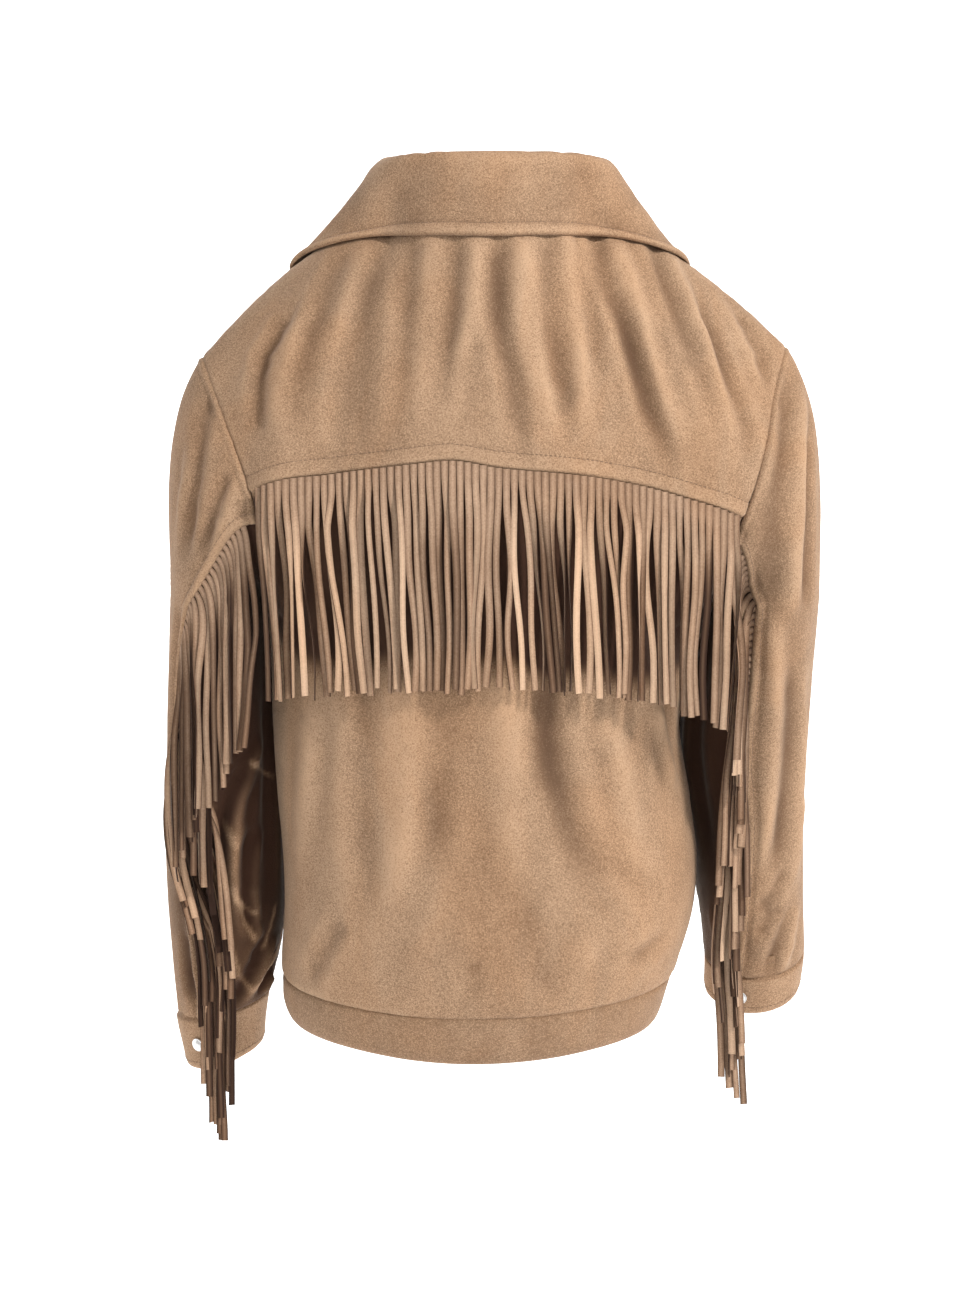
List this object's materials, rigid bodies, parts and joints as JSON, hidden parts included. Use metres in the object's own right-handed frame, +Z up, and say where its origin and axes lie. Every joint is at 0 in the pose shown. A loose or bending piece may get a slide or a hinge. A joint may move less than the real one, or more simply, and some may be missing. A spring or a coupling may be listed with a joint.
{
  "type": "fringed jacket",
  "caption": "Hip-length faux-suede western jacket, worn form and hollow, with large pointed collar, curved back yoke, and fringe along the yoke and down the back of both sleeves.",
  "frame": {"origin": "midway between the two points where the shoulder seams meet the neck, where the wearer's shoulders carry the jacket", "axes": "+X is the wearer's left, -Y is the front, +Z is up"},
  "size_m": [0.5261, 0.2698, 0.7828],
  "materials": {
    "suede": "napped faux suede, matt, with a soft sheen and patchy nap",
    "fringe": "cut faux-suede strands, smooth matt underside and napped face",
    "snap": "pale polished metal snap cap"
  },
  "bodies": {
    "root": {"back_yoke": "suede", "back_body": "suede", "front_left": "suede", "front_right": "suede", "hem_band": "suede", "collar": "suede", "sleeve_left_under": "suede", "sleeve_left_upper": "suede", "sleeve_right_under": "suede", "sleeve_right_upper": "suede", "cuff_left": "suede", "cuff_right": "suede", "back_fringe": "fringe", "sleeve_left_fringe": "fringe", "sleeve_right_fringe": "fringe", "front_snap_1": "snap", "front_snap_2": "snap", "front_snap_3": "snap", "front_snap_4": "snap", "front_snap_5": "snap", "band_snap": "snap", "cuff_left_snap": "snap", "cuff_right_snap": "snap"}
  },
  "joints": []
}
